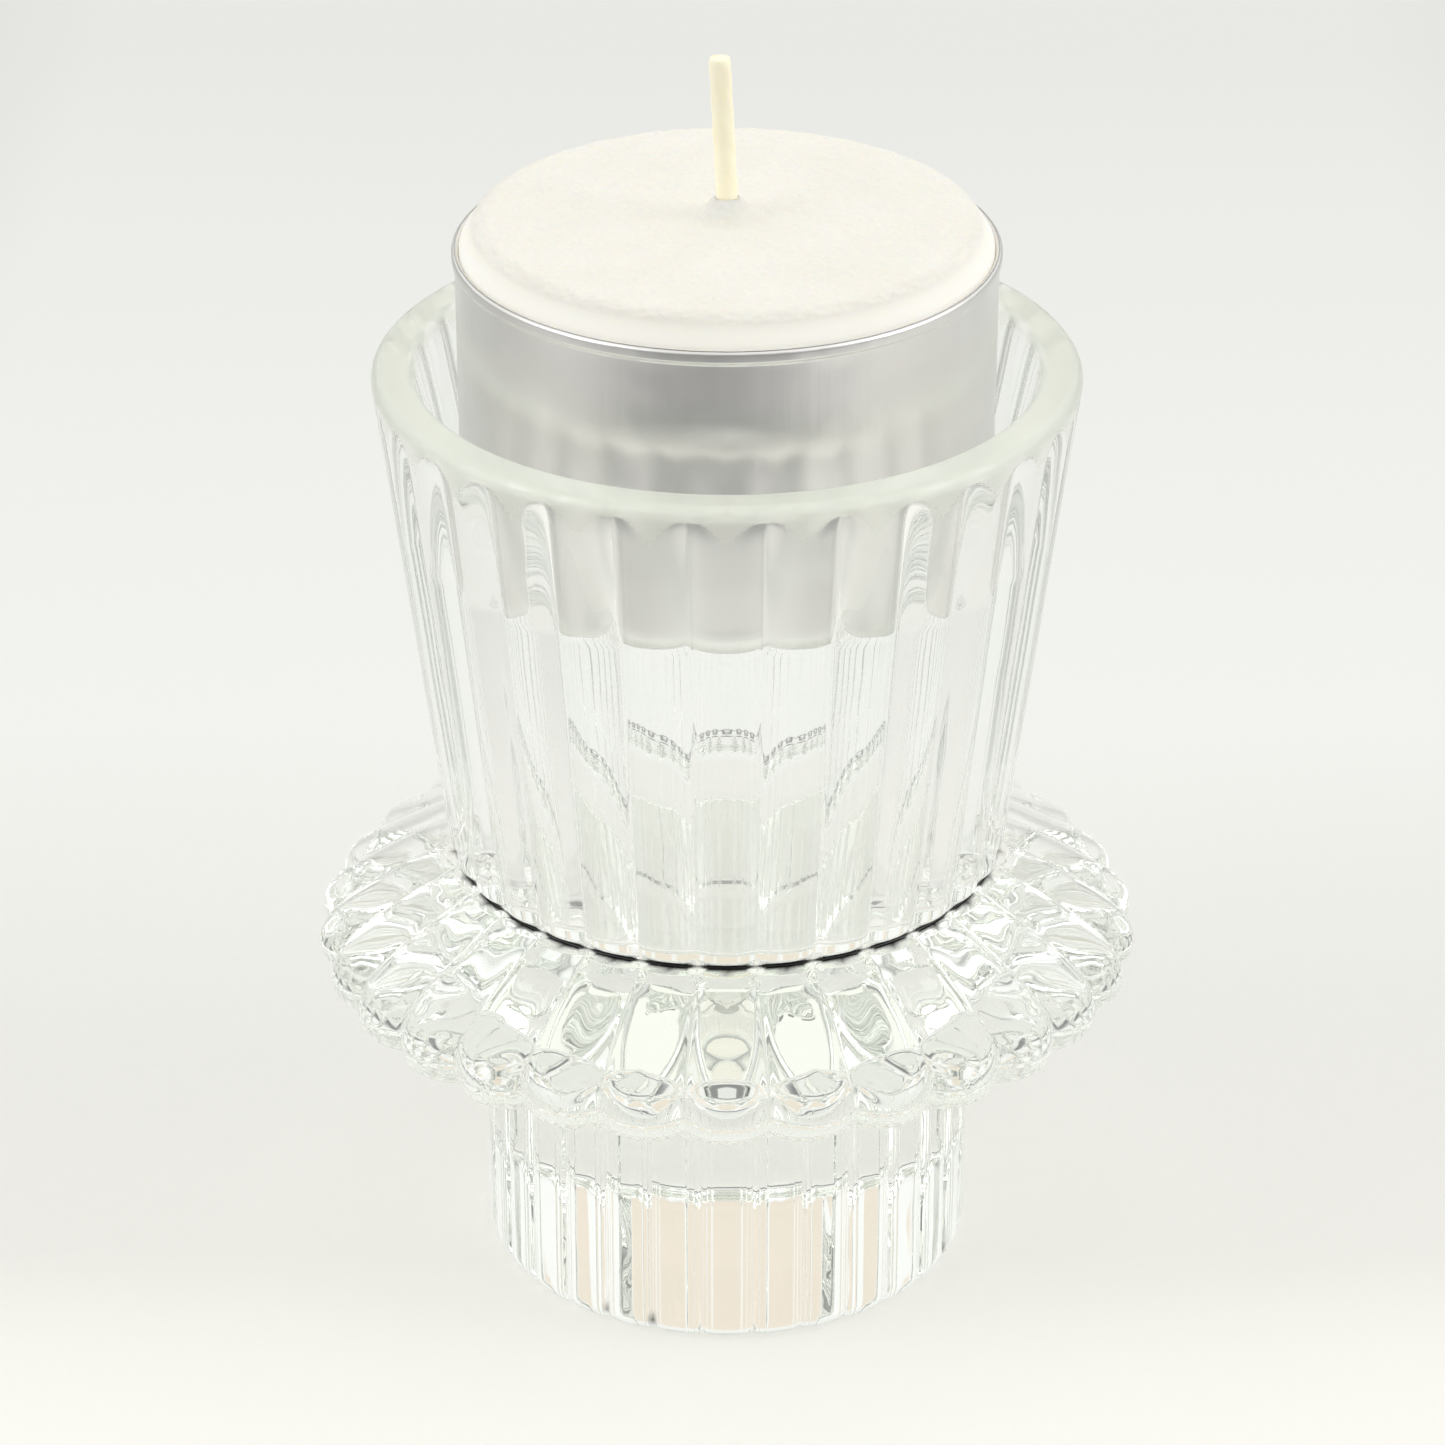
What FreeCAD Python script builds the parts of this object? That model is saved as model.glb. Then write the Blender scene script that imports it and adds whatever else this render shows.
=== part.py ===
import FreeCAD, Part
import math
import os

# Tealight holder of ribbed pressed glass, with the tealight that stands in it. Millimetres, +Z up.
# The origin is the centre of the foot's flat underside.

Vec = FreeCAD.Vector

# ---- driving dimensions ----
RIBS = 30                    # the same ribs run up the foot, round the collar and up the cup
FOOT_R = 17.8                # over the rib crests
FOOT_TOP = 20.1
FOOT_EDGE = 1.6              # height of the rounding round the underside
COLLAR_R = 29.9              # over the lobe crests
COLLAR_Z = 25.3              # middle of the collar's rounded edge
COLLAR_EDGE = 2.0            # radius of that edge
COLLAR_SLOPE = 30.0          # degrees, the fall of the collar's top
SEAM_Z = 32.8                # where the cup stands on the collar
SEAM_GAP = 0.8               # height of the notch at the seam
SEAM_IN = 0.9                # how far the notch reaches in
CUP_LOW_R = 20.1             # over the rib crests, at the seam
CUP_HIGH_R = 24.9            # over the rib crests, just under the lip
HEIGHT = 70.2                # foot to lip
RIB_DEPTH = 0.5
LOBE_DEPTH = 1.45            # between the collar's lobes
LIP_DROP = 1.2               # height of the plain band round the lip
LIP_FADE = 0.9               # height over which the ribs run out under that band
LIP_ROUND = 0.9
WELL_TOP_R = 21.9            # inside radius at the lip
WELL_TOP_ROUND = 0.7
WELL_FLOOR = 32.3
WELL_FLOOR_R = 16.2
WELL_CORNER = 2.0

CAN_BOTTOM = 57.0            # the can is held by the taper of the well at this height
CAN_H = 22.0
CAN_R = 19.1                 # over the rolled bead
CAN_WALL = 0.25
CAN_BEAD = 0.25              # radius of the bead
CAN_WALL_R = 18.9            # outside, just under the bead
CAN_TAPER = 0.1              # the can is this much narrower at its foot
CAN_CORNER = 1.6
CAN_GRIP = 1.1               # height above the can's base where the well holds it

WAX_R = 18.5
WAX_TOP = 81.2
WAX_BEVEL_W = 1.4
WAX_BEVEL_H = 1.9
WICK_R = 0.78
WICK_TOP = 92.6
WICK_LEAN = 0.5              # sideways offset of the wick's tip
DISC_R = 6.5                 # foot of the wick sustainer
DISC_T = 0.3
NECK_R = 1.45
NECK_H = 4.0
CLEAR = 0.12                 # air between separate pieces


def lobed_wire(z, crest, groove):
    """A closed outline of RIBS arcs; each arc bulges to the crest radius between two grooves."""
    edges = []
    step = 2.0 * math.pi / RIBS
    for k in range(RIBS):
        mid = k * step - math.pi / 2.0
        pts = []
        for a, r in ((mid - step / 2.0, groove), (mid, crest), (mid + step / 2.0, groove)):
            pts.append(Vec(r * math.cos(a), r * math.sin(a), z))
        edges.append(Part.Arc(pts[0], pts[1], pts[2]).toShape())
    return Part.Wire(edges)


def lobed_solid(levels):
    """A straight-sided solid through (height, crest radius, rib depth) levels."""
    wires = [lobed_wire(z, crest, crest - depth) for z, crest, depth in levels]
    return Part.makeLoft(wires, True, True)


def turned(points):
    """A solid turned about Z from a closed outline; an entry is a corner (radius, height), or an arc's
    middle and end (radius, height, radius, height)."""
    edges = []
    here = points[0]
    for item in points[1:] + [points[0]]:
        start = Vec(here[0], 0, here[1])
        if len(item) == 4:
            middle = Vec(item[0], 0, item[1])
            end = Vec(item[2], 0, item[3])
            edges.append(Part.Arc(start, middle, end).toShape())
            here = (item[2], item[3])
        else:
            end = Vec(item[0], 0, item[1])
            edges.append(Part.makeLine(start, end))
            here = item
    face = Part.Face(Part.Wire(edges))
    return face.revolve(Vec(0, 0, 0), Vec(0, 0, 1), 360)


def arc_point(cx, cz, r, degrees):
    a = math.radians(degrees)
    return (cx + r * math.cos(a), cz + r * math.sin(a))


# ---- glass holder: foot, collar and cup are one pressing ----
foot_levels = [
    (0.0, FOOT_R - FOOT_EDGE, RIB_DEPTH),
    (0.3 * FOOT_EDGE, FOOT_R - 0.3 * FOOT_EDGE, RIB_DEPTH),
    (FOOT_EDGE, FOOT_R, RIB_DEPTH),
    (FOOT_TOP, FOOT_R, RIB_DEPTH),
]
collar_levels = [(FOOT_TOP, FOOT_R, RIB_DEPTH), (FOOT_TOP + 1.2, FOOT_R + 3.0, 0.5 * (RIB_DEPTH + LOBE_DEPTH))]
for degrees in (-72, -36, 0, 36, 90 - COLLAR_SLOPE):
    r, z = arc_point(COLLAR_R - COLLAR_EDGE, COLLAR_Z, COLLAR_EDGE, degrees)
    collar_levels.append((z, r, LOBE_DEPTH))
root_r = CUP_LOW_R + 1.1
root_z = z + (r - root_r) * math.tan(math.radians(COLLAR_SLOPE))
notch_z = SEAM_Z + 0.15 - SEAM_GAP
collar_levels.append((root_z, root_r, RIB_DEPTH))
collar_levels.append((notch_z, CUP_LOW_R + 0.4, RIB_DEPTH))
seam_levels = [
    (notch_z, CUP_LOW_R + 0.4, RIB_DEPTH),
    (notch_z + 0.3 * SEAM_GAP, CUP_LOW_R - SEAM_IN, 0.0),
    (notch_z + SEAM_GAP, CUP_LOW_R, RIB_DEPTH),
]
lip_z = HEIGHT - LIP_DROP
cup_levels = [
    (notch_z + SEAM_GAP, CUP_LOW_R, RIB_DEPTH),
    (lip_z - LIP_FADE, CUP_HIGH_R - 0.1, RIB_DEPTH),
    (lip_z, CUP_HIGH_R, 0.0),
]
lip_levels = [(lip_z, CUP_HIGH_R, 0.0)]
for degrees in (0, 30, 60, 90):
    r, z = arc_point(CUP_HIGH_R - LIP_ROUND, HEIGHT - LIP_ROUND, LIP_ROUND, degrees)
    lip_levels.append((z, r, 0.0))
glass = lobed_solid(foot_levels)
for levels in (collar_levels, seam_levels, cup_levels, lip_levels):
    glass = glass.fuse(lobed_solid(levels))

can_foot_r = CAN_WALL_R - CAN_TAPER
well_top_z = HEIGHT - WELL_TOP_ROUND
grip_z = CAN_BOTTOM + CAN_GRIP
grip_r = can_foot_r + CLEAR * 0.5
corner_z = WELL_FLOOR + WELL_CORNER
corner_r = WELL_FLOOR_R - WELL_CORNER
well = turned([
    (0, WELL_FLOOR),
    (corner_r, WELL_FLOOR),
    arc_point(corner_r, corner_z, WELL_CORNER, -45) + (WELL_FLOOR_R, corner_z),
    (grip_r, grip_z),
    (WELL_TOP_R, well_top_z),
    arc_point(WELL_TOP_R + WELL_TOP_ROUND, well_top_z, WELL_TOP_ROUND, 135)
    + (WELL_TOP_R + WELL_TOP_ROUND, HEIGHT),
    (WELL_TOP_R + WELL_TOP_ROUND, HEIGHT + 2),
    (0, HEIGHT + 2),
])
glass = glass.cut(well).removeSplitter()

# ---- aluminium can ----
can_top = CAN_BOTTOM + CAN_H
bead_z = can_top - CAN_BEAD
ci = CAN_CORNER - CAN_WALL
can = turned([
    (0, CAN_BOTTOM),
    (can_foot_r - CAN_CORNER, CAN_BOTTOM),
    arc_point(can_foot_r - CAN_CORNER, CAN_BOTTOM + CAN_CORNER, CAN_CORNER, -45)
    + (can_foot_r, CAN_BOTTOM + CAN_CORNER),
    (CAN_WALL_R, bead_z - 0.6),
    (CAN_WALL_R, bead_z),
    (CAN_WALL_R - CAN_WALL, bead_z),
    (CAN_WALL_R - CAN_WALL, bead_z - 0.6),
    (can_foot_r - CAN_WALL, CAN_BOTTOM + CAN_CORNER),
    arc_point(can_foot_r - CAN_CORNER, CAN_BOTTOM + CAN_CORNER, ci, -45)
    + (can_foot_r - CAN_CORNER, CAN_BOTTOM + CAN_WALL),
    (0, CAN_BOTTOM + CAN_WALL),
])
bead = Part.makeTorus(CAN_R - CAN_BEAD, CAN_BEAD, Vec(0, 0, bead_z), Vec(0, 0, 1))
can = can.fuse(bead).removeSplitter()

# ---- wick sustainer: a tin disc with a neck that grips the wick ----
floor = CAN_BOTTOM + CAN_WALL
sustainer = turned([
    (WICK_R, floor),
    (DISC_R, floor),
    (DISC_R, floor + DISC_T),
    (NECK_R + 0.8, floor + DISC_T),
    (NECK_R + 0.2, floor + DISC_T + 0.2, NECK_R, floor + DISC_T + 0.8),
    (NECK_R - 0.2, floor + NECK_H),
    (WICK_R, floor + NECK_H),
])

# ---- wick ----
lean_from = WAX_TOP + 1.5
straight = Part.makeCylinder(WICK_R, lean_from - floor, Vec(0, 0, floor))
low = Part.Wire([Part.makeCircle(WICK_R, Vec(0, 0, lean_from))])
high = Part.Wire([Part.makeCircle(WICK_R, Vec(-WICK_LEAN, 0, WICK_TOP))])
wick = straight.fuse(Part.makeLoft([low, high], True, True)).removeSplitter()

# ---- wax: a pressed puck with a bevelled shoulder, a small collar at the wick and room for the sustainer ----
wax = turned([
    (WICK_R, floor + NECK_H + CLEAR),
    (NECK_R + CLEAR, floor + NECK_H + CLEAR),
    (NECK_R + CLEAR, floor + DISC_T + 1.0),
    (NECK_R + 1.0, floor + DISC_T + CLEAR),
    (DISC_R + CLEAR, floor + DISC_T + CLEAR),
    (DISC_R + CLEAR, floor),
    (WAX_R - 1.7, floor),
    (WAX_R - 0.1, floor + 1.6),
    (WAX_R, WAX_TOP - WAX_BEVEL_H),
    (WAX_R - 0.35, WAX_TOP - 0.6, WAX_R - WAX_BEVEL_W, WAX_TOP),
    (2.2, WAX_TOP),
    (WICK_R + 0.35, WAX_TOP + 0.3, WICK_R, WAX_TOP + 1.3),
])

NODES = {
    "glass_holder": glass,
    "tealight_can": can,
    "wax_body": wax,
    "wick": wick,
    "wick_sustainer": sustainer,
}
os.makedirs("parts", exist_ok=True)
for name, shape in NODES.items():
    solid = shape.Solids[0]
    solid.exportStep("parts/" + name + ".step")
    print(name, len(shape.Solids), solid.isValid(), round(solid.Volume, 1), solid.BoundBox)
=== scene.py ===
import math

import bpy
import numpy as np
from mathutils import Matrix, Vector


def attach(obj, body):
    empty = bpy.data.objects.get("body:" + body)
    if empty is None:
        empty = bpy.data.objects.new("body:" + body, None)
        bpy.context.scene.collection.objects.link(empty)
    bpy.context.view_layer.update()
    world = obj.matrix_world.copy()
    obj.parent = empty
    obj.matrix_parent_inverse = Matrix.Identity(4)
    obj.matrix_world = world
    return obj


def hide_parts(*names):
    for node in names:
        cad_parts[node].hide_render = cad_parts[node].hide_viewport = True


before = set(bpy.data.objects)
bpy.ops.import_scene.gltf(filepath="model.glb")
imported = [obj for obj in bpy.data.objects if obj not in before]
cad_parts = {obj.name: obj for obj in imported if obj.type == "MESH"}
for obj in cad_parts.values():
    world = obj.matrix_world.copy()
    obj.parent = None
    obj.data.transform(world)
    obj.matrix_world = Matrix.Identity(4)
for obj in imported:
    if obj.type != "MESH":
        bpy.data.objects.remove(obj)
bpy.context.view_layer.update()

MM = 0.001
RIBS = 30
STEPS_PER_RIB = 18
GROOVE_SOFTNESS = 0.05

# How flat a rib is across its top: higher is flatter, with narrower grooves.
RIB_POWER = 2.5
LOBE_POWER = 2.2
FOOT_POWER = 5.0

# ---- holder sizes, mm ----
AXIS_R = 0.3                 # the flat faces close to a point from this radius
FOOT_R = 17.8                # the foot, collar and cup radii are over the rib crests
FOOT_TOP = 19.8
FOOT_ROUND = 1.6
COLLAR_R = 29.9
COLLAR_Z = 25.5
SEAM_Z = 32.8
CUP_LOW_R = 20.1
CUP_HIGH_R = 24.9
HEIGHT = 70.2
RIB_DEPTH = 0.5
LIP_RIB_DEPTH = 0.85         # just under the lip, where the ribs run out
FOOT_RIB_DEPTH = 0.36
LOBE_DEPTH = 1.45            # between the collar's lobes, at its edge
SLOPE_DEPTH = 0.26           # and where its slope starts
LIP_ROUND = 1.0
ARCH_DROP = 2.2              # height of the arches where the ribs run out
NOTCH_BELOW_SEAM = 0.35      # middle of the band of painted shade in the notch, and half its height
NOTCH_HALF = 0.3
SPECK_Z = 1.3                # where the foot's specks of painted shade sit, and how high and wide they reach
SPECK_HIGH = 2.0
SPECK_WIDE = 1.5
WELL_TOP_R = 21.9
WELL_FLOOR = 32.3
WELL_FLOOR_R = 16.2
WELL_GRIP_R = 18.98          # the can sits in the well here
WELL_GRIP_Z = 57.5

# ---- tealight sizes, mm ----
CAN_BOTTOM = 57.0
CAN_H = 22.0
CAN_R = 19.1
CAN_BEAD = 0.25
CAN_WALL = 0.25
CAN_WALL_R = 18.9
CAN_FOOT_R = 18.8
CAN_CORNER = 1.6
WAX_R = 18.5
WAX_TOP = 81.2
WICK_R = 0.78
WICK_TOP = 92.6
WICK_LEAN = 0.5
WICK_GAP = 0.02
DISC_R = 6.5
DISC_T = 0.3
NECK_R = 1.45
NECK_H = 4.0
CLEAR = 0.12                 # air between the wax and the sustainer

# ---- camera; lengths in mm ----
ELEVATION = math.radians(27.17)
DISTANCE = 411.6
LOOK_Z = 41.7
SENSOR = 36.0
FOCAL_IN_WIDTHS = 5700.0 / 1445.0
SHIFT_X = -0.0031

BOUNCES = 24                 # of light, through the glass

# ---- glow of surfaces, to reach the nearly shadowless light ----
FLOOR_GLOW = 0.68
WAX_EDGE_GLOW = 0.17
WICK_GLOW = 0.16

# ---- floor sheet, mm ----
FLOOR_SIZE = 900.0
FLOOR_FRONT = -129.0
FLOOR_SLANT = 0.2
BELOW_FOOT = 0.03

# ---- light colours ----
LAMP_COLOUR = (1.0, 0.985, 0.96)
WARM_WALL = (0.86, 0.77, 0.66)
DIM_WALL = (0.26, 0.26, 0.26)

# ---- floor tones with painted shade, lighter in front and darker from under the holder back and towards the sides: across it from 200 mm left to right, and away from 100 mm in front to 300 mm behind ----
FLOOR_SIDE_SHADE = [
    (0.10, (0.66, 0.66, 0.66)),
    (0.32, (1.0, 1.0, 1.0)),
    (0.68, (1.0, 1.0, 1.0)),
    (0.90, (0.80, 0.80, 0.80)),
]
FLOOR_TONE_AND_SHADE = [
    (0.00, (0.97, 0.96, 0.92)),
    (0.16, (0.96, 0.95, 0.905)),
    (0.205, (0.91, 0.90, 0.855)),
    (0.235, (0.885, 0.88, 0.83)),
    (0.265, (0.805, 0.80, 0.76)),
    (0.36, (0.79, 0.79, 0.755)),
    (0.48, (0.82, 0.825, 0.80)),
    (0.62, (0.80, 0.81, 0.78)),
    (0.90, (0.74, 0.75, 0.725)),
]


# ---- smooth seeded noise on points ----
def lattice_noise(points, cell, seed):
    """Smooth noise from -1 to 1 at (n, 3) points in mm; cell is the size of its lumps."""
    q = points / cell + 1000.0
    base = np.floor(q).astype(np.int64)
    f = q - base
    f = f * f * (3.0 - 2.0 * f)
    total = np.zeros(len(points))
    for dx in (0, 1):
        for dy in (0, 1):
            for dz in (0, 1):
                h = (base[:, 0] + dx) * 374761393 + (base[:, 1] + dy) * 668265263
                h = h + (base[:, 2] + dz) * 2147483647 + seed * 1274126177
                h = (h ^ (h >> 13)) * 1274126177
                value = ((h ^ (h >> 16)) & 65535) / 32767.5 - 1.0
                wx = f[:, 0] if dx else 1.0 - f[:, 0]
                wy = f[:, 1] if dy else 1.0 - f[:, 1]
                wz = f[:, 2] if dz else 1.0 - f[:, 2]
                total += value * wx * wy * wz
    return total


# ---- profiles ----
def rounded(points, spacing):
    """A dense (radius, height, extra) polyline through (radius, height, fillet, extra) corners."""
    out = []
    n = len(points)
    for i, (r, z, fillet, extra) in enumerate(points):
        here = Vector((r, z))
        if fillet <= 0 or i in (0, n - 1):
            out.append((r, z, extra))
            continue
        before = Vector(points[i - 1][:2])
        after = Vector(points[i + 1][:2])
        a = (before - here).normalized()
        b = (after - here).normalized()
        half = 0.5 * a.angle(b)
        reach = fillet / math.tan(half)
        centre = here + (a + b).normalized() * (fillet / math.sin(half))
        start = here + a * reach
        end = here + b * reach
        a0 = math.atan2(start.y - centre.y, start.x - centre.x)
        turn = math.atan2(end.y - centre.y, end.x - centre.x) - a0
        turn = (turn + math.pi) % (2.0 * math.pi) - math.pi
        steps = 9
        for k in range(steps + 1):
            t = a0 + turn * k / steps
            out.append((centre.x + fillet * math.cos(t), centre.y + fillet * math.sin(t), extra))
    dense = [out[0]]
    for p in out[1:]:
        q = dense[-1]
        gap = math.hypot(p[0] - q[0], p[1] - q[1])
        cuts = max(1, int(math.ceil(gap / spacing)))
        for k in range(1, cuts + 1):
            t = k / cuts
            dense.append(tuple(q[j] + (p[j] - q[j]) * t for j in range(3)))
    return dense


def finer(profile, low, high, beyond, spacing):
    """The same outline with closer points between two heights, outside a radius."""
    out = [profile[0]]
    for p in profile[1:]:
        q = out[-1]
        middle = 0.5 * (p[1] + q[1])
        if low < middle < high and p[0] > beyond and q[0] > beyond:
            cuts = max(1, int(math.ceil(math.hypot(p[0] - q[0], p[1] - q[1]) / spacing)))
            for k in range(1, cuts):
                out.append(tuple(q[j] + (p[j] - q[j]) * k / cuts for j in range(3)))
        out.append(p)
    return out


def grid_mesh(name, rings, closed_start, closed_end, loop=False):
    """A mesh of rings of points joined in order, in mm; the ends close to a point on the axis where asked."""
    count = len(rings[0])
    verts = [p for ring in rings for p in ring]
    faces = []
    pairs = len(rings) if loop else len(rings) - 1
    for i in range(pairs):
        a = i * count
        b = ((i + 1) % len(rings)) * count
        for j in range(count):
            k = (j + 1) % count
            faces.append((a + j, a + k, b + k, b + j))
    for closed, ring_at, flip in ((closed_start, 0, True), (closed_end, len(rings) - 1, False)):
        if not closed:
            continue
        centre = np.mean(np.array(rings[ring_at]), axis=0)
        verts.append(tuple(centre))
        tip = len(verts) - 1
        a = ring_at * count
        for j in range(count):
            k = (j + 1) % count
            faces.append((tip, a + k, a + j) if flip else (tip, a + j, a + k))
    mesh = bpy.data.meshes.new(name)
    mesh.from_pydata([tuple(c * MM for c in v) for v in verts], [], faces)
    mesh.validate()
    mesh.polygons.foreach_set("use_smooth", [True] * len(mesh.polygons))
    mesh.update()
    obj = bpy.data.objects.new(name, mesh)
    bpy.context.scene.collection.objects.link(obj)
    return obj


def turned_mesh(name, profile, segments, closed_start, closed_end, warp=None, loop=False):
    """A turned piece; warp(points) may push the (n, 3) points about, in mm."""
    angles = np.linspace(0.0, 2.0 * math.pi, segments, endpoint=False)
    rings = []
    for r, z, _ in profile:
        rings.append(np.stack([r * np.cos(angles), r * np.sin(angles), np.full(segments, z)], axis=1))
    pts = np.concatenate(rings)
    if warp is not None:
        pts = warp(pts)
    pts = pts.reshape(len(profile), segments, 3)
    return grid_mesh(name, [list(map(tuple, ring)) for ring in pts], closed_start, closed_end, loop)


# ---- node helpers ----
def new_material(name):
    mat = bpy.data.materials.new(name)
    mat.use_nodes = True
    tree = mat.node_tree
    shader = tree.nodes["Principled BSDF"]
    return mat, tree, shader


def add(tree, kind, **values):
    """A new node; each keyword is a property of the node or the name of an input."""
    node = tree.nodes.new(kind)
    for key, value in values.items():
        if key in node.inputs:
            node.inputs[key].default_value = value
        else:
            setattr(node, key, value)
    return node


def colour_output(node):
    """The colour result of a mix node."""
    return [s for s in node.outputs if s.type == "RGBA"][0]


def colour_input(node, name):
    """The colour socket of that name on a mix node."""
    return [s for s in node.inputs if s.name == name and s.type == "RGBA"][0]


def noise_node(tree, coords, scale, detail=2.0, roughness=0.5, stretch=(1.0, 1.0, 1.0)):
    mapping = add(tree, "ShaderNodeMapping")
    mapping.inputs["Scale"].default_value = stretch
    tree.links.new(coords, mapping.inputs["Vector"])
    node = add(tree, "ShaderNodeTexNoise", Scale=scale, Detail=detail, Roughness=roughness)
    tree.links.new(mapping.outputs["Vector"], node.inputs["Vector"])
    return node.outputs["Fac"]


def ramp(tree, fac, stops):
    node = tree.nodes.new("ShaderNodeValToRGB")
    elements = node.color_ramp.elements
    while len(elements) < len(stops):
        elements.new(0.5)
    for element, (pos, colour) in zip(elements, stops):
        element.position = pos
        element.color = tuple(colour) + (1.0,)
    tree.links.new(fac, node.inputs["Fac"])
    return node.outputs["Color"]


def bump(tree, shader, height, strength, distance):
    node = add(tree, "ShaderNodeBump", Strength=strength, Distance=distance)
    tree.links.new(height, node.inputs["Height"])
    tree.links.new(node.outputs["Normal"], shader.inputs["Normal"])


def remap(tree, value, source=(0.0, 1.0), target=(0.0, 1.0), kind="LINEAR"):
    """value taken from the source range to the target range, clamped."""
    node = add(tree, "ShaderNodeMapRange", interpolation_type=kind)
    node.inputs["From Min"].default_value = source[0]
    node.inputs["From Max"].default_value = source[1]
    node.inputs["To Min"].default_value = target[0]
    node.inputs["To Max"].default_value = target[1]
    tree.links.new(value, node.inputs["Value"])
    return node.outputs["Result"]


def calculate(tree, operation, *values):
    """A math node; each value is a number or an output."""
    node = add(tree, "ShaderNodeMath", operation=operation)
    for socket, value in zip(node.inputs, values):
        if isinstance(value, float):
            socket.default_value = value
        else:
            tree.links.new(value, socket)
    return node.outputs[0]


def mixed(tree, share, first, second, blend="MIX"):
    """Colour first turning into second; share is a number or an output, and so are the colours."""
    node = add(tree, "ShaderNodeMix", data_type="RGBA", blend_type=blend)
    sockets = (node.inputs["Factor"], colour_input(node, "A"), colour_input(node, "B"))
    for socket, value in zip(sockets, (share, first, second)):
        if isinstance(value, float):
            socket.default_value = value
        elif isinstance(value, tuple):
            socket.default_value = value + (1.0,)
        else:
            tree.links.new(value, socket)
    return colour_output(node)


def parts_of(tree, vector):
    """The x, y and z outputs of a vector."""
    node = add(tree, "ShaderNodeSeparateXYZ")
    tree.links.new(vector, node.inputs["Vector"])
    return node.outputs["X"], node.outputs["Y"], node.outputs["Z"]


# ---- materials ----
def glass_material():
    """Clear, slightly green glass; the lip is dull, and the notch and specks carry painted shade, dark from
    outside only.
    """
    mat, tree, shader = new_material("pressed_glass")
    shader.inputs["IOR"].default_value = 1.51
    coords = add(tree, "ShaderNodeTexCoord").outputs["Object"]
    waves = noise_node(tree, coords, 220.0, 1.0)
    tint = ramp(tree, waves, [(0.3, (0.985, 1.0, 0.99)), (0.7, (1.0, 1.0, 1.0))])
    frost = add(tree, "ShaderNodeAttribute", attribute_name="lip_frost").outputs["Fac"]
    tree.links.new(remap(tree, frost, target=(0.0, 0.30)), shader.inputs["Roughness"])
    # painted shade: in the notch and the specks the glass turns dark and opaque where seen from outside
    shade = add(tree, "ShaderNodeAttribute", attribute_name="seam_shade").outputs["Fac"]
    inside = add(tree, "ShaderNodeNewGeometry").outputs["Backfacing"]
    painted_dark = calculate(tree, "MULTIPLY", shade, calculate(tree, "SUBTRACT", 1.0, inside))
    unshaded = remap(tree, painted_dark, target=(1.0, 0.0))
    tree.links.new(unshaded, shader.inputs["Transmission Weight"])
    greener = mixed(tree, frost, tint, (0.985, 1.0, 0.94))
    tree.links.new(mixed(tree, unshaded, (0.01, 0.01, 0.01), greener), shader.inputs["Base Color"])
    body = add(tree, "ShaderNodeVolumeAbsorption", Density=1.2)
    body.inputs["Color"].default_value = (0.50, 0.80, 0.36, 1.0)
    tree.links.new(body.outputs["Volume"], tree.nodes["Material Output"].inputs["Volume"])
    return mat


def aluminium_material():
    mat, tree, shader = new_material("can_aluminium")
    shader.inputs["Metallic"].default_value = 1.0
    coords = add(tree, "ShaderNodeTexCoord").outputs["Object"]
    drawn = noise_node(tree, coords, 900.0, 3.0, 0.6, (1.0, 1.0, 0.06))
    cloud = noise_node(tree, coords, 130.0, 3.0)
    colour = ramp(tree, cloud, [(0.25, (0.80, 0.795, 0.775)), (0.75, (0.90, 0.895, 0.88))])
    tree.links.new(colour, shader.inputs["Base Color"])
    tree.links.new(remap(tree, drawn, target=(0.30, 0.38)), shader.inputs["Roughness"])
    bump(tree, shader, calculate(tree, "ADD", drawn, cloud), 0.12, 0.0002)
    return mat


def wax_material():
    """Granular on top; the chamfer is smooth and glows a little."""
    mat, tree, shader = new_material("pressed_wax")
    coords = add(tree, "ShaderNodeTexCoord").outputs["Object"]
    grains = add(tree, "ShaderNodeTexVoronoi", Scale=1700.0)
    tree.links.new(coords, grains.inputs["Vector"])
    fine = noise_node(tree, coords, 2600.0, 3.0, 0.6)
    cloud = noise_node(tree, coords, 160.0, 3.0)
    colour = ramp(tree, cloud, [(0.3, (0.865, 0.85, 0.785)), (0.7, (0.90, 0.885, 0.83))])
    tree.links.new(colour, shader.inputs["Base Color"])
    shader.inputs["Roughness"].default_value = 0.62
    shader.inputs["Subsurface Weight"].default_value = 0.5
    shader.inputs["Subsurface Radius"].default_value = (1.0, 0.8, 0.55)
    shader.inputs["Subsurface Scale"].default_value = 0.0015
    z = parts_of(tree, coords)[2]
    glow = remap(tree, z, ((WAX_TOP - 1.4) * MM, (WAX_TOP - 0.3) * MM), (WAX_EDGE_GLOW, 0.0))
    shader.inputs["Emission Color"].default_value = (1.0, 0.97, 0.91, 1.0)
    tree.links.new(glow, shader.inputs["Emission Strength"])
    upper = remap(tree, z, ((WAX_TOP - 0.9) * MM, (WAX_TOP - 0.35) * MM), kind="SMOOTHSTEP")
    rough = calculate(tree, "ADD", grains.outputs["Distance"], fine)
    bump(tree, shader, calculate(tree, "MULTIPLY", rough, upper), 0.5, 0.00025)
    return mat


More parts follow.
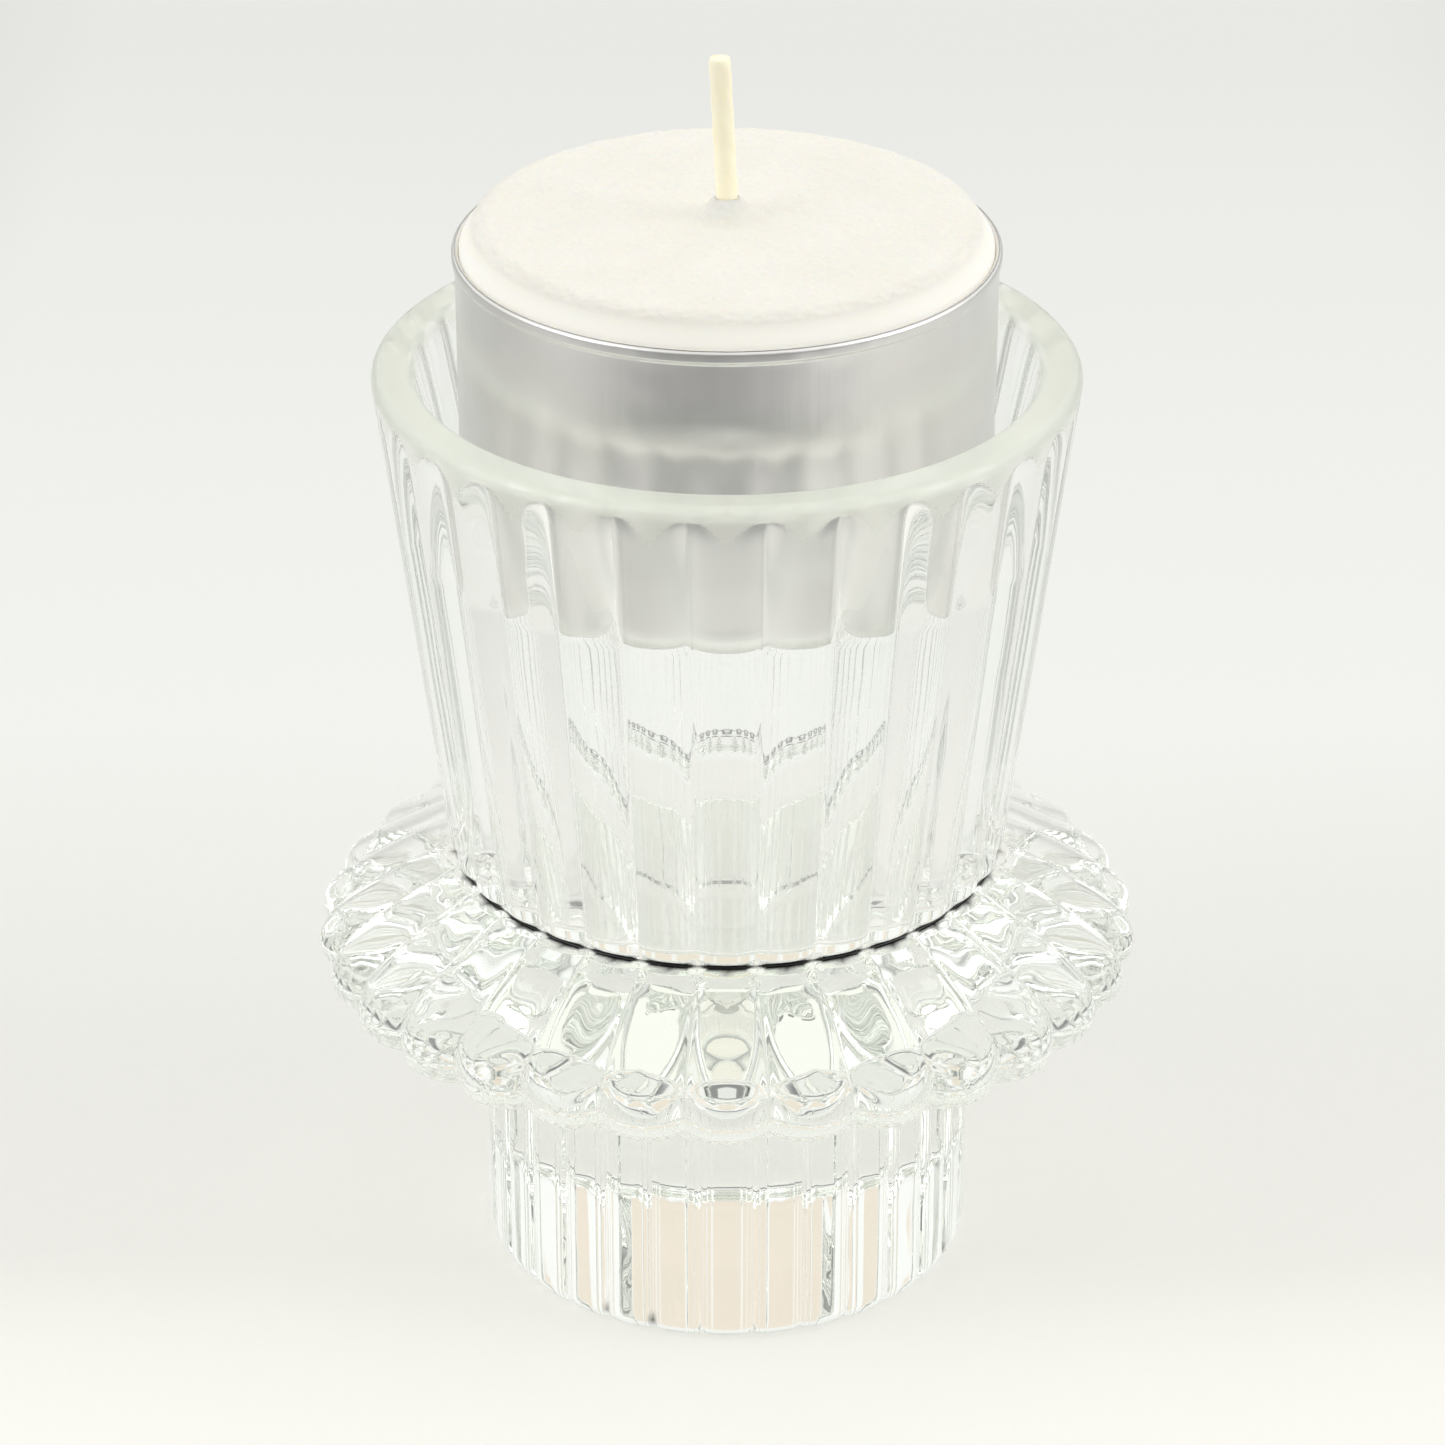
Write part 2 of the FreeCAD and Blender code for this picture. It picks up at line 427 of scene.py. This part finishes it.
def wick_material():
    mat, tree, shader = new_material("waxed_cotton")
    coords = add(tree, "ShaderNodeTexCoord").outputs["Object"]
    fibre = noise_node(tree, coords, 2500.0, 3.0, 0.6, (1.0, 1.0, 0.15))
    colour = ramp(tree, fibre, [(0.3, (0.97, 0.88, 0.66)), (0.7, (0.98, 0.93, 0.76))])
    tree.links.new(colour, shader.inputs["Base Color"])
    shader.inputs["Roughness"].default_value = 0.55
    shader.inputs["Subsurface Weight"].default_value = 0.4
    shader.inputs["Subsurface Radius"].default_value = (1.0, 0.7, 0.4)
    shader.inputs["Subsurface Scale"].default_value = 0.0008
    tree.links.new(colour, shader.inputs["Emission Color"])
    shader.inputs["Emission Strength"].default_value = WICK_GLOW
    bump(tree, shader, fibre, 0.4, 0.0002)
    return mat


def tin_material():
    mat, tree, shader = new_material("sustainer_tin")
    shader.inputs["Metallic"].default_value = 1.0
    coords = add(tree, "ShaderNodeTexCoord").outputs["Object"]
    cloud = noise_node(tree, coords, 900.0, 3.0)
    colour = ramp(tree, cloud, [(0.3, (0.62, 0.62, 0.60)), (0.7, (0.76, 0.76, 0.74))])
    tree.links.new(colour, shader.inputs["Base Color"])
    shader.inputs["Roughness"].default_value = 0.35
    bump(tree, shader, cloud, 0.2, 0.0001)
    return mat


def floor_material():
    """Pale paper that glows, so that shadows nearly vanish; painted shade makes it lighter in front and
    darker from under the holder back and towards the sides.
    """
    mat, tree, shader = new_material("pale_paper")
    coords = add(tree, "ShaderNodeTexCoord").outputs["Object"]
    fine = noise_node(tree, coords, 1400.0, 4.0, 0.65)
    wide = noise_node(tree, coords, 9.0, 2.0)
    x, y, _ = parts_of(tree, coords)
    along = remap(tree, y, (-0.10, 0.30))
    # painted shade along the floor and towards its sides, on top of the paper's own tone
    away = ramp(tree, calculate(tree, "MULTIPLY_ADD", wide, 0.06, along), FLOOR_TONE_AND_SHADE)
    side_shade = ramp(tree, remap(tree, x, (-0.20, 0.20)), FLOOR_SIDE_SHADE)
    colour = mixed(tree, 1.0, away, side_shade, "MULTIPLY")
    tree.links.new(mixed(tree, 1.0, colour, (0.35, 0.35, 0.35), "MULTIPLY"), shader.inputs["Base Color"])
    tree.links.new(colour, shader.inputs["Emission Color"])
    shader.inputs["Emission Strength"].default_value = FLOOR_GLOW
    shader.inputs["Roughness"].default_value = 0.8
    bump(tree, shader, fine, 0.15, 0.0002)
    return mat


# ---- glass holder ----
def rib_bulge(t, power):
    """0 at a groove and 1 at a crest, for t from -1 to 1 across a rib; grooves are slightly soft."""
    far = np.abs(t)
    bend = GROOVE_SOFTNESS
    far = 1.0 - (np.sqrt((1.0 - far) ** 2 + bend * bend) - bend) / (math.sqrt(1.0 + bend * bend) - bend)
    return 1.0 - far ** power


def mark(obj, name, values):
    """Writes one number per point of the mesh, for the material to read."""
    obj.data.attributes.new(name, "FLOAT", "POINT").data.foreach_set("value", values)


def notch_and_specks(spots, radial, turn, across):
    """Painted shade: 1 deep in the seam's notch and in a few specks in the grooves at the foot's lower edge,
    0 elsewhere.
    """
    z = spots[:, 2]
    crest = np.cos(2.0 * math.pi * turn) * 0.5 + 0.5
    deep = CUP_LOW_R - 0.58 + 0.55 * crest - radial
    notch = np.minimum(NOTCH_HALF - np.abs(z - (SEAM_Z - NOTCH_BELOW_SEAM)), deep)
    # painted shade in the specks, a random amount for each rib
    speck_shade_by_rib = np.random.default_rng(11).uniform(-0.5, 0.55, RIBS)[np.floor(turn).astype(int) % RIBS]
    speck = speck_shade_by_rib - np.hypot((z - SPECK_Z) / SPECK_HIGH, (1.0 - across) * SPECK_WIDE)
    near = np.where(z < 4.0, 0.22 * speck, notch)
    shade = np.where(radial > FOOT_R - 0.9, np.clip(near / 0.1, 0.0, 1.0), 0.0)
    shade[(z > 10.0) & (radial < WELL_GRIP_R - 0.6)] = 0.0
    return shade


def lip_frosting(spots, radial, across):
    """1 on the dull band round the lip, whose outer edge follows the arches over the grooves, 0 elsewhere."""
    edge = HEIGHT - LIP_ROUND - ARCH_DROP * (1.0 - np.sin(0.5 * math.pi * across))
    edge = np.where(radial > CUP_HIGH_R - 2.0, edge, HEIGHT - LIP_ROUND)
    return np.clip((spots[:, 2] - edge) / 0.3 + 0.5, 0.0, 1.0)


def build_glass():
    """The whole holder: one turned outline whose ribs, lobes and arches are cut in as it goes round."""
    rise = (CUP_HIGH_R - CUP_LOW_R) / (HEIGHT - LIP_ROUND - SEAM_Z)
    corners = [
        (AXIS_R, 0.0, 0.0, 0.0),
        (FOOT_R - 2.5, 0.0, 0.0, 0.0),
        (FOOT_R, 0.0, FOOT_ROUND, FOOT_RIB_DEPTH),
        (FOOT_R, 8.0, 0.0, FOOT_RIB_DEPTH),
        (FOOT_R, FOOT_TOP + 0.3, FOOT_ROUND, FOOT_RIB_DEPTH),
        (COLLAR_R - 2.6, COLLAR_Z - 2.4, 0.0, 0.3),
        (COLLAR_R, COLLAR_Z - 1.7, 2.1, LOBE_DEPTH),
        (COLLAR_R, COLLAR_Z + 1.2, 2.3, LOBE_DEPTH),
        (CUP_LOW_R + 1.1, SEAM_Z - 1.1, 0.9, 0.6 * RIB_DEPTH),
        (CUP_LOW_R + 0.4, SEAM_Z - 0.65, 0.3, RIB_DEPTH),
        (CUP_LOW_R - 0.9, SEAM_Z - 0.4, 0.15, 0.0),
        (CUP_LOW_R, SEAM_Z + 0.15, 0.5, RIB_DEPTH),
        (CUP_HIGH_R - ARCH_DROP * rise, HEIGHT - LIP_ROUND - ARCH_DROP, 0.0, LIP_RIB_DEPTH),
        (CUP_HIGH_R, HEIGHT - LIP_ROUND, 0.0, LIP_RIB_DEPTH),
        (CUP_HIGH_R + 0.1, HEIGHT, 0.9, 0.4 * RIB_DEPTH),
        (WELL_TOP_R + 0.1, HEIGHT, 0.7, 0.0),
        (WELL_GRIP_R, WELL_GRIP_Z, 6.0, 0.0),
        (WELL_FLOOR_R - 0.3, WELL_FLOOR, 0.8, 0.0),
        (AXIS_R, WELL_FLOOR, 0.0, 0.0),
    ]
    arch_low = HEIGHT - LIP_ROUND - ARCH_DROP
    profile = finer(rounded(corners, 0.7), arch_low - 0.5, HEIGHT - LIP_ROUND + 0.1, WELL_TOP_R + 1.0, 0.12)
    u = (np.arange(STEPS_PER_RIB) / STEPS_PER_RIB) * 2.0 - 1.0
    t = np.sin(0.5 * math.pi * u)
    rib = np.tile(rib_bulge(t, RIB_POWER), RIBS)
    lobe = np.tile(rib_bulge(t, LOBE_POWER), RIBS)
    flat = np.tile(rib_bulge(t, FOOT_POWER), RIBS)
    slope_start = CUP_LOW_R + 1.0
    pitch = 2.0 * math.pi / RIBS
    angles = np.concatenate([-0.5 * math.pi + k * pitch + 0.5 * pitch * t for k in range(RIBS)])
    rings = []
    for r, z, depth in profile:
        share = 0.0
        if z < SEAM_Z - 1.0:
            share = min(1.0, max(0.0, (r - slope_start) / (COLLAR_R - slope_start)))
        inner = rib if z > SEAM_Z - 2.0 else flat
        if SEAM_Z - 1.5 > z > COLLAR_Z:
            depth = SLOPE_DEPTH + (LOBE_DEPTH - SLOPE_DEPTH) * share ** 3
        cut = depth * (1.0 - (inner + (lobe - inner) * share))
        climb = (z - arch_low) / ARCH_DROP
        if climb > 0.0:
            reach = 2.0 / math.pi * math.asin(min(1.0, climb))
            cut = np.maximum(0.0, cut - LIP_RIB_DEPTH * reach ** RIB_POWER)
        rr = r - cut
        rings.append(np.stack([rr * np.cos(angles), rr * np.sin(angles), np.full(len(angles), z)], axis=1))
    points = np.concatenate(rings)
    swell = 0.025 * lattice_noise(points, 6.0, 31) + 0.008 * lattice_noise(points, 2.4, 32)
    swell[points[:, 2] < 0.01] = 0.0
    out = np.maximum(np.hypot(points[:, 0], points[:, 1]), 1.0)
    points[:, :2] *= (1.0 - np.abs(swell) / out)[:, None]
    rings = points.reshape(len(profile), len(angles), 3)
    obj = grid_mesh("glass_body", [list(map(tuple, ring)) for ring in rings], True, True)
    spots = np.array([v.co for v in obj.data.vertices]) / MM
    radial = np.hypot(spots[:, 0], spots[:, 1])
    turn = (np.arctan2(spots[:, 1], spots[:, 0]) + 0.5 * math.pi) / pitch
    across = np.abs(2.0 * (turn - np.round(turn)))
    mark(obj, "seam_shade", notch_and_specks(spots, radial, turn, across))
    mark(obj, "lip_frost", lip_frosting(spots, radial, across))
    return obj


# ---- tealight ----
def build_can():
    top = CAN_BOTTOM + CAN_H
    corners = [
        (AXIS_R, CAN_BOTTOM, 0.0, 0.0),
        (CAN_FOOT_R, CAN_BOTTOM, CAN_CORNER, 0.0),
        (CAN_WALL_R, top - 1.0, 0.3, 0.0),
        (CAN_R, top - 0.75, 0.2, 0.0),
        (CAN_R, top, 0.3, 0.0),
        (CAN_R - 2.0 * CAN_BEAD, top, 0.3, 0.0),
        (CAN_WALL_R - CAN_WALL, top - 0.9, 0.3, 0.0),
        (CAN_FOOT_R - CAN_WALL, CAN_BOTTOM + CAN_WALL, CAN_CORNER - CAN_WALL, 0.0),
        (AXIS_R, CAN_BOTTOM + CAN_WALL, 0.0, 0.0),
    ]

    def dents(p):
        radial = np.hypot(p[:, 0], p[:, 1])
        side = (radial > 17.0) & (p[:, 2] < top - 1.2) & (p[:, 2] > CAN_BOTTOM + 2.0)
        push = 0.035 * lattice_noise(p, 7.0, 11) + 0.02 * lattice_noise(p, 2.5, 12)
        knock = np.exp(-((p[:, 0] - 0.5) / 2.4) ** 2 - ((p[:, 2] - 72.4) / 0.7) ** 2)
        push = np.abs(push) + 0.06 * knock * (p[:, 1] < 0.0)
        burrs = 0.03 * np.abs(lattice_noise(p, 0.9, 13)) * (p[:, 2] > top - 1.0)
        push = np.where(side, push, 0.0) + burrs
        out = p.copy()
        for axis in (0, 1):
            out[:, axis] *= 1.0 - push / np.maximum(radial, 1.0)
        return out

    return turned_mesh("can_shell", rounded(corners, 0.5), 360, True, True, dents)


def build_wax():
    floor = CAN_BOTTOM + CAN_WALL
    corners = [
        (WICK_R + WICK_GAP, floor + NECK_H + 0.15, 0.0, 0.0),
        (NECK_R + CLEAR, floor + NECK_H + 0.15, 0.0, 0.0),
        (NECK_R + CLEAR, floor + DISC_T + 1.0, 0.0, 0.0),
        (DISC_R + CLEAR, floor + DISC_T + CLEAR, 0.0, 0.0),
        (DISC_R + CLEAR, floor, 0.0, 0.0),
        (WAX_R - 1.6, floor, 0.5, 0.0),
        (WAX_R - 0.1, floor + 1.6, 0.5, 0.0),
        (WAX_R + 0.06, WAX_TOP - 2.1, 0.6, 0.0),
        (WAX_R - 1.3, WAX_TOP, 1.6, 0.0),
        (2.4, WAX_TOP, 1.0, 0.0),
        (WICK_R + WICK_GAP, WAX_TOP + 1.3, 0.0, 0.0),
    ]

    def grains(p):
        radial = np.hypot(p[:, 0], p[:, 1])
        upper = np.clip((p[:, 2] - WAX_TOP + 0.9) / 0.6, 0.0, 1.0) * (radial > 1.2)
        lump = 0.05 * lattice_noise(p, 0.5, 21)
        lump = lump + 0.04 * lattice_noise(p, 1.3, 22)
        lump = lump + 0.08 * lattice_noise(p, 6.0, 23)
        out = p.copy()
        out[:, 2] += upper * (lump - 0.12)
        return out

    return turned_mesh("wax_puck", rounded(corners, 0.28), 420, False, False, grains, loop=True)


def build_wick():
    count = 36
    angles = np.linspace(0.0, 2.0 * math.pi, count, endpoint=False)
    start = CAN_BOTTOM + CAN_WALL
    heights = np.linspace(start, WICK_TOP, 220)
    rings = []
    for z in heights:
        lift = max(0.0, (z - WAX_TOP - 1.5) / (WICK_TOP - WAX_TOP - 1.5))
        twist = z * 0.9
        strand = 0.05 * np.abs(np.cos(1.5 * (angles + twist)))
        r = WICK_R - 0.06 + strand
        if z > WICK_TOP - 0.25:
            r = r * 0.93
        x = r * np.cos(angles) - WICK_LEAN * lift
        y = r * np.sin(angles)
        rings.append(np.stack([x, y, np.full(count, z)], axis=1))
    return grid_mesh("wick_braid", [list(map(tuple, ring)) for ring in rings], True, True)


def build_sustainer():
    floor = CAN_BOTTOM + CAN_WALL
    corners = [
        (WICK_R + WICK_GAP, floor, 0.0, 0.0),
        (DISC_R, floor, 0.1, 0.0),
        (DISC_R, floor + DISC_T, 0.1, 0.0),
        (NECK_R, floor + DISC_T, 0.5, 0.0),
        (NECK_R - 0.2, floor + NECK_H, 0.1, 0.0),
        (WICK_R + WICK_GAP, floor + NECK_H, 0.0, 0.0),
    ]
    return turned_mesh("sustainer_disc", rounded(corners, 0.3), 96, False, False, None, loop=True)


def finish_piece(obj, body, node, material):
    obj.data.materials.append(material)
    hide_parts(node)
    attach(obj, body)


finish_piece(build_glass(), "holder", "glass_holder", glass_material())
finish_piece(build_can(), "tealight_cup", "tealight_can", aluminium_material())
finish_piece(build_wax(), "candle", "wax_body", wax_material())
finish_piece(build_wick(), "candle", "wick", wick_material())
finish_piece(build_sustainer(), "candle", "wick_sustainer", tin_material())


# ---- floor, light and camera ----
def build_floor():
    """A flat sheet; its slanting front edge ends near the holder, so that the can reflects the dim room."""
    n = 60
    xs = np.linspace(-FLOOR_SIZE, FLOOR_SIZE, n)
    skew = -FLOOR_SLANT * np.clip(xs, -120.0, 120.0)
    verts = []
    for row, y in enumerate(np.linspace(FLOOR_FRONT, FLOOR_SIZE, n)):
        for x, shift in zip(xs, skew):
            verts.append((x * MM, (y + (shift if row == 0 else 0.0)) * MM, -BELOW_FOOT * MM))
    faces = []
    for j in range(n - 1):
        for i in range(n - 1):
            a = j * n + i
            faces.append((a, a + 1, a + n + 1, a + n))
    mesh = bpy.data.meshes.new("floor")
    mesh.from_pydata(verts, [], faces)
    mesh.materials.append(floor_material())
    obj = bpy.data.objects.new("floor", mesh)
    bpy.context.scene.collection.objects.link(obj)


def softbox(name, place, aim, width, height, power, colour):
    light = bpy.data.lights.new(name, "AREA")
    light.shape = "RECTANGLE"
    light.size = width
    light.size_y = height
    light.energy = power
    light.color = colour
    obj = bpy.data.objects.new(name, light)
    obj.location = place
    obj.rotation_euler = (Vector(aim) - Vector(place)).to_track_quat("-Z", "Y").to_euler()
    bpy.context.scene.collection.objects.link(obj)


def build_world():
    """A pale room, warmer behind and above, with a dim patch on the viewer's side."""
    world = bpy.data.worlds.new("room")
    bpy.context.scene.world = world
    world.use_nodes = True
    tree = world.node_tree
    background = tree.nodes["Background"]
    coords = add(tree, "ShaderNodeTexCoord").outputs["Generated"]
    x, y, z = parts_of(tree, coords)
    sky = ramp(tree, calculate(tree, "MULTIPLY_ADD", z, 0.5, 0.5), [
        (0.00, (0.45, 0.45, 0.44)),
        (0.47, (0.45, 0.45, 0.44)),
        (0.50, (0.24, 0.24, 0.24)),
        (0.53, (0.24, 0.24, 0.24)),
        (0.58, (0.88, 0.88, 0.86)),
        (0.75, (0.98, 0.98, 0.96)),
        (1.00, (0.90, 0.90, 0.89)),
    ])
    wedge = calculate(tree, "MULTIPLY_ADD", calculate(tree, "ABSOLUTE", x), -2.8, y)
    behind = remap(tree, wedge, (0.00, 0.06), kind="SMOOTHSTEP")
    high = remap(tree, z, (0.32, 0.38), kind="SMOOTHSTEP")
    warm = mixed(tree, calculate(tree, "MULTIPLY", behind, high), sky, WARM_WALL)
    viewer_side = remap(tree, y, (-0.55, -0.95), kind="SMOOTHSTEP")
    tree.links.new(mixed(tree, viewer_side, warm, DIM_WALL), background.inputs["Color"])
    background.inputs["Strength"].default_value = 1.05


build_floor()
softbox("key_left", (-0.9, -0.35, 0.75), (0, 0, 0.04), 0.7, 0.7, 2.2, LAMP_COLOUR)
softbox("key_right", (0.95, -0.15, 0.7), (0, 0, 0.04), 0.6, 0.8, 2.6, LAMP_COLOUR)
build_world()

camera = bpy.data.cameras.new("camera")
camera.sensor_width = SENSOR
camera.lens = SENSOR * FOCAL_IN_WIDTHS
camera.shift_x = SHIFT_X
camera.clip_start = 0.01
eye = bpy.data.objects.new("camera", camera)
target = Vector((0.0, 0.0, LOOK_Z * MM))
away = Vector((0.0, -math.cos(ELEVATION), math.sin(ELEVATION)))
eye.location = target + away * DISTANCE * MM
eye.rotation_euler = (-away).to_track_quat("-Z", "Y").to_euler()
bpy.context.scene.collection.objects.link(eye)
bpy.context.scene.camera = eye

scene = bpy.context.scene
scene.view_settings.view_transform = "Standard"
scene.cycles.use_denoising = True
scene.cycles.max_bounces = BOUNCES
scene.cycles.transmission_bounces = BOUNCES
scene.cycles.glossy_bounces = 12
scene.cycles.diffuse_bounces = 4
scene.cycles.caustics_reflective = True
scene.cycles.caustics_refractive = True
scene.cycles.blur_glossy = 0.2
